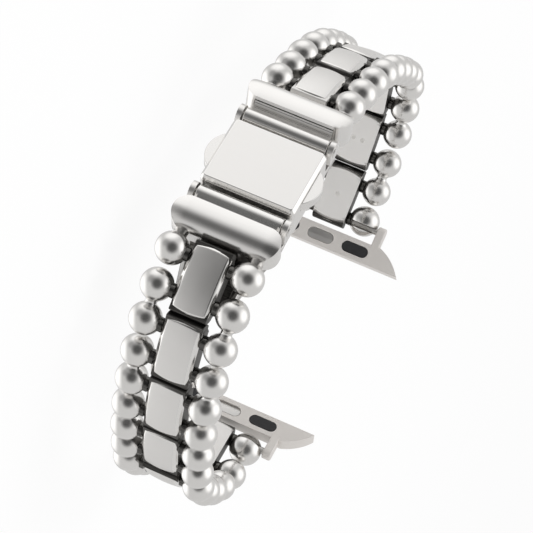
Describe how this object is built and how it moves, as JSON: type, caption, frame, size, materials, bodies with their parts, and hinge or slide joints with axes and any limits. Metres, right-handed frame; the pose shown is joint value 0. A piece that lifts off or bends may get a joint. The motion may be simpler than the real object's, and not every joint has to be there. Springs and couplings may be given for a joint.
{
  "type": "watch bracelet",
  "caption": "Metal link bracelet with rectangular centre blocks, round side beads, a two-button folding clasp and slide-in end adapters.",
  "frame": {"origin": "the middle of the bracelet's box, with the bracelet standing on its edge", "axes": "+Z across the band, from the bottom button to the top one; +X along the clasp, towards the right half; +Y from the clasp towards the gap for the watch"},
  "size_m": [0.0928, 0.0671, 0.0328],
  "materials": {
    "block_steel": "fine satin, polished bevels",
    "bead_steel": "soft polish",
    "button_steel": "satin",
    "blade_steel": "satin",
    "pin_steel": "turned",
    "adapter_metal": "blasted, matt",
    "lock_metal": "satin",
    "pad_rubber": "matt"
  },
  "bodies": {
    "clasp": {"clasp_base": "blade_steel", "clasp_cover": "block_steel", "clasp_hinge_pins": "pin_steel", "button_spring": "pin_steel"},
    "top_button": {"top_button": "button_steel"},
    "bottom_button": {"bottom_button": "button_steel"},
    "right_arm": {"right_arm": "blade_steel"},
    "right_end": {"right_end_piece": "bead_steel", "right_end_pins": "pin_steel"},
    "right_link_1": {"right_block_1": "block_steel"},
    "right_pair_1": {"right_beads_1": "bead_steel", "right_pins_1": "pin_steel"},
    "right_link_2": {"right_block_2": "block_steel"},
    "right_pair_2": {"right_beads_2": "bead_steel", "right_pins_2": "pin_steel"},
    "right_link_3": {"right_block_3": "block_steel"},
    "right_pair_3": {"right_beads_3": "bead_steel", "right_pins_3": "pin_steel"},
    "right_link_4": {"right_block_4": "block_steel"},
    "right_pair_4": {"right_beads_4": "bead_steel", "right_pins_4": "pin_steel"},
    "right_link_5": {"right_block_5": "block_steel"},
    "right_pair_5": {"right_beads_5": "bead_steel", "right_pins_5": "pin_steel"},
    "right_link_6": {"right_block_6": "block_steel"},
    "right_pair_6": {"right_beads_6": "bead_steel", "right_pins_6": "pin_steel"},
    "right_link_7": {"right_block_7": "block_steel", "right_slotted_beads": "bead_steel"},
    "right_adapter": {"right_adapter": "adapter_metal", "right_spring_bar": "pin_steel", "right_pads": "pad_rubber"},
    "right_lock": {"right_lock_button": "lock_metal"},
    "left_arm": {"left_arm": "blade_steel"},
    "left_end": {"left_end_piece": "bead_steel", "left_end_pins": "pin_steel"},
    "left_link_1": {"left_block_1": "block_steel"},
    "left_pair_1": {"left_beads_1": "bead_steel", "left_pins_1": "pin_steel"},
    "left_link_2": {"left_block_2": "block_steel"},
    "left_pair_2": {"left_beads_2": "bead_steel", "left_pins_2": "pin_steel"},
    "left_link_3": {"left_block_3": "block_steel"},
    "left_pair_3": {"left_beads_3": "bead_steel", "left_pins_3": "pin_steel"},
    "left_link_4": {"left_block_4": "block_steel"},
    "left_pair_4": {"left_beads_4": "bead_steel", "left_pins_4": "pin_steel"},
    "left_link_5": {"left_block_5": "block_steel"},
    "left_pair_5": {"left_beads_5": "bead_steel", "left_pins_5": "pin_steel"},
    "left_link_6": {"left_block_6": "block_steel"},
    "left_pair_6": {"left_beads_6": "bead_steel", "left_pins_6": "pin_steel"},
    "left_link_7": {"left_block_7": "block_steel", "left_slotted_beads": "bead_steel"},
    "left_adapter": {"left_adapter": "adapter_metal", "left_spring_bar": "pin_steel", "left_pads": "pad_rubber"},
    "left_lock": {"left_lock_button": "lock_metal"}
  },
  "joints": [
    {"name": "top_button_push", "type": "slide", "parent": "clasp", "child": "top_button", "axis": [0, 0, -1], "range_m": [0, 0.001], "stiffness_N_per_m": 300, "springref_m": -0.001, "deforming": ["button_spring"]},
    {"name": "bottom_button_push", "type": "slide", "parent": "clasp", "child": "bottom_button", "axis": [0, 0, 1], "range_m": [0, 0.001], "stiffness_N_per_m": 300, "springref_m": -0.001},
    {"name": "right_arm_fold", "type": "hinge", "parent": "clasp", "child": "right_arm", "pos_m": [0.03044, -0.02303, 0], "axis": [0, 0, 1], "range_deg": [0, 150]},
    {"name": "right_end_swing", "type": "hinge", "parent": "right_arm", "child": "right_end", "pos_m": [0.01754, -0.03117, 0], "axis": [0, 0, 1], "range_deg": [-150, 0]},
    {"name": "right_row_1", "type": "hinge", "parent": "right_end", "child": "right_link_1", "pos_m": [0.02821, -0.03043, 0], "axis": [0, 0, 1], "range_deg": [-45, 8]},
    {"name": "right_row_2", "type": "hinge", "parent": "right_link_1", "child": "right_pair_1", "pos_m": [0.03319, -0.02707, 0], "axis": [0, 0, -1], "range_deg": [-20, 39]},
    {"name": "right_row_3", "type": "hinge", "parent": "right_pair_1", "child": "right_link_2", "pos_m": [0.03707, -0.02276, 0], "axis": [0, 0, 1], "range_deg": [-39, 20]},
    {"name": "right_row_4", "type": "hinge", "parent": "right_link_2", "child": "right_pair_2", "pos_m": [0.03989, -0.01746, 0], "axis": [0, 0, -1], "range_deg": [-26, 33]},
    {"name": "right_row_5", "type": "hinge", "parent": "right_pair_2", "child": "right_link_3", "pos_m": [0.04187, -0.01201, 0], "axis": [0, 0, 1], "range_deg": [-33, 26]},
    {"name": "right_row_6", "type": "hinge", "parent": "right_link_3", "child": "right_pair_3", "pos_m": [0.04312, -0.00614, 0], "axis": [0, 0, -1], "range_deg": [-28, 31]},
    {"name": "right_row_7", "type": "hinge", "parent": "right_pair_3", "child": "right_link_4", "pos_m": [0.04372, -0.00038, 0], "axis": [0, 0, 1], "range_deg": [-31, 28]},
    {"name": "right_row_8", "type": "hinge", "parent": "right_link_4", "child": "right_pair_4", "pos_m": [0.04372, 0.00562, 0], "axis": [0, 0, -1], "range_deg": [-28, 31]},
    {"name": "right_row_9", "type": "hinge", "parent": "right_pair_4", "child": "right_link_5", "pos_m": [0.04312, 0.01139, 0], "axis": [0, 0, 1], "range_deg": [-43, 16]},
    {"name": "right_row_10", "type": "hinge", "parent": "right_link_5", "child": "right_pair_5", "pos_m": [0.04068, 0.01687, 0], "axis": [0, 0, -1], "range_deg": [-27, 32]},
    {"name": "right_row_11", "type": "hinge", "parent": "right_pair_5", "child": "right_link_6", "pos_m": [0.03769, 0.02185, 0], "axis": [0, 0, 1], "range_deg": [-32, 27]},
    {"name": "right_row_12", "type": "hinge", "parent": "right_link_6", "child": "right_pair_6", "pos_m": [0.034, 0.02657, 0], "axis": [0, 0, -1], "range_deg": [-20, 39]},
    {"name": "right_row_13", "type": "hinge", "parent": "right_pair_6", "child": "right_link_7", "pos_m": [0.02942, 0.03015, 0], "axis": [0, 0, 1], "range_deg": [-57, 2]},
    {"name": "right_row_14", "type": "hinge", "parent": "right_link_7", "child": "right_adapter", "pos_m": [0.02244, 0.03063, 0], "axis": [0, 0, -1], "range_deg": [-33, 37]},
    {"name": "right_lock_push", "type": "slide", "parent": "right_adapter", "child": "right_lock", "axis": [0.0698, 0.9976, 0], "range_m": [0, 0.0005], "stiffness_N_per_m": 200, "springref_m": -0.0005},
    {"name": "left_arm_fold", "type": "hinge", "parent": "clasp", "child": "left_arm", "pos_m": [-0.01256, -0.02303, 0], "axis": [0, 0, -1], "range_deg": [0, 150]},
    {"name": "left_end_swing", "type": "hinge", "parent": "left_arm", "child": "left_end", "pos_m": [0.00034, -0.03117, 0], "axis": [0, 0, -1], "range_deg": [-150, 0]},
    {"name": "left_row_1", "type": "hinge", "parent": "left_end", "child": "left_link_1", "pos_m": [-0.01023, -0.0295, 0], "axis": [0, 0, -1], "range_deg": [-45, 10]},
    {"name": "left_row_2", "type": "hinge", "parent": "left_link_1", "child": "left_pair_1", "pos_m": [-0.01562, -0.02687, 0], "axis": [0, 0, 1], "range_deg": [-34, 25]},
    {"name": "left_row_3", "type": "hinge", "parent": "left_pair_1", "child": "left_link_2", "pos_m": [-0.02083, -0.02432, 0], "axis": [0, 0, -1], "range_deg": [-32, 27]},
    {"name": "left_row_4", "type": "hinge", "parent": "left_link_2", "child": "left_pair_2", "pos_m": [-0.02587, -0.02106, 0], "axis": [0, 0, 1], "range_deg": [-27, 32]},
    {"name": "left_row_5", "type": "hinge", "parent": "left_pair_2", "child": "left_link_3", "pos_m": [-0.03031, -0.01733, 0], "axis": [0, 0, -1], "range_deg": [-32, 27]},
    {"name": "left_row_6", "type": "hinge", "parent": "left_link_3", "child": "left_pair_3", "pos_m": [-0.0344, -0.01294, 0], "axis": [0, 0, 1], "range_deg": [-31, 28]},
    {"name": "left_row_7", "type": "hinge", "parent": "left_pair_3", "child": "left_link_4", "pos_m": [-0.03813, -0.0085, 0], "axis": [0, 0, -1], "range_deg": [-28, 31]},
    {"name": "left_row_8", "type": "hinge", "parent": "left_link_4", "child": "left_pair_4", "pos_m": [-0.04174, -0.00371, 0], "axis": [0, 0, 1], "range_deg": [-17, 42]},
    {"name": "left_row_9", "type": "hinge", "parent": "left_pair_4", "child": "left_link_5", "pos_m": [-0.04372, 0.00174, 0], "axis": [0, 0, -1], "range_deg": [-51, 8]},
    {"name": "left_row_10", "type": "hinge", "parent": "left_link_5", "child": "left_pair_5", "pos_m": [-0.0431, 0.00771, 0], "axis": [0, 0, 1], "range_deg": [-18, 41]},
    {"name": "left_row_11", "type": "hinge", "parent": "left_pair_5", "child": "left_link_6", "pos_m": [-0.04092, 0.01309, 0], "axis": [0, 0, -1], "range_deg": [-41, 18]},
    {"name": "left_row_12", "type": "hinge", "parent": "left_link_6", "child": "left_pair_6", "pos_m": [-0.03723, 0.01782, 0], "axis": [0, 0, 1], "range_deg": [-26, 33]},
    {"name": "left_row_13", "type": "hinge", "parent": "left_pair_6", "child": "left_link_7", "pos_m": [-0.03306, 0.02185, 0], "axis": [0, 0, -1], "range_deg": [-33, 26]},
    {"name": "left_row_14", "type": "hinge", "parent": "left_link_7", "child": "left_adapter", "pos_m": [-0.02725, 0.02576, 0], "axis": [0, 0, 1], "range_deg": [-23, 47]},
    {"name": "left_lock_push", "type": "slide", "parent": "left_adapter", "child": "left_lock", "axis": [-0.4067, 0.9135, 0], "range_m": [0, 0.0005], "stiffness_N_per_m": 200, "springref_m": -0.0005}
  ],
  "couplings": [
    {"joint": "right_end_swing", "follows": "right_arm_fold", "ratio": -1},
    {"joint": "left_end_swing", "follows": "left_arm_fold", "ratio": -1}
  ]
}
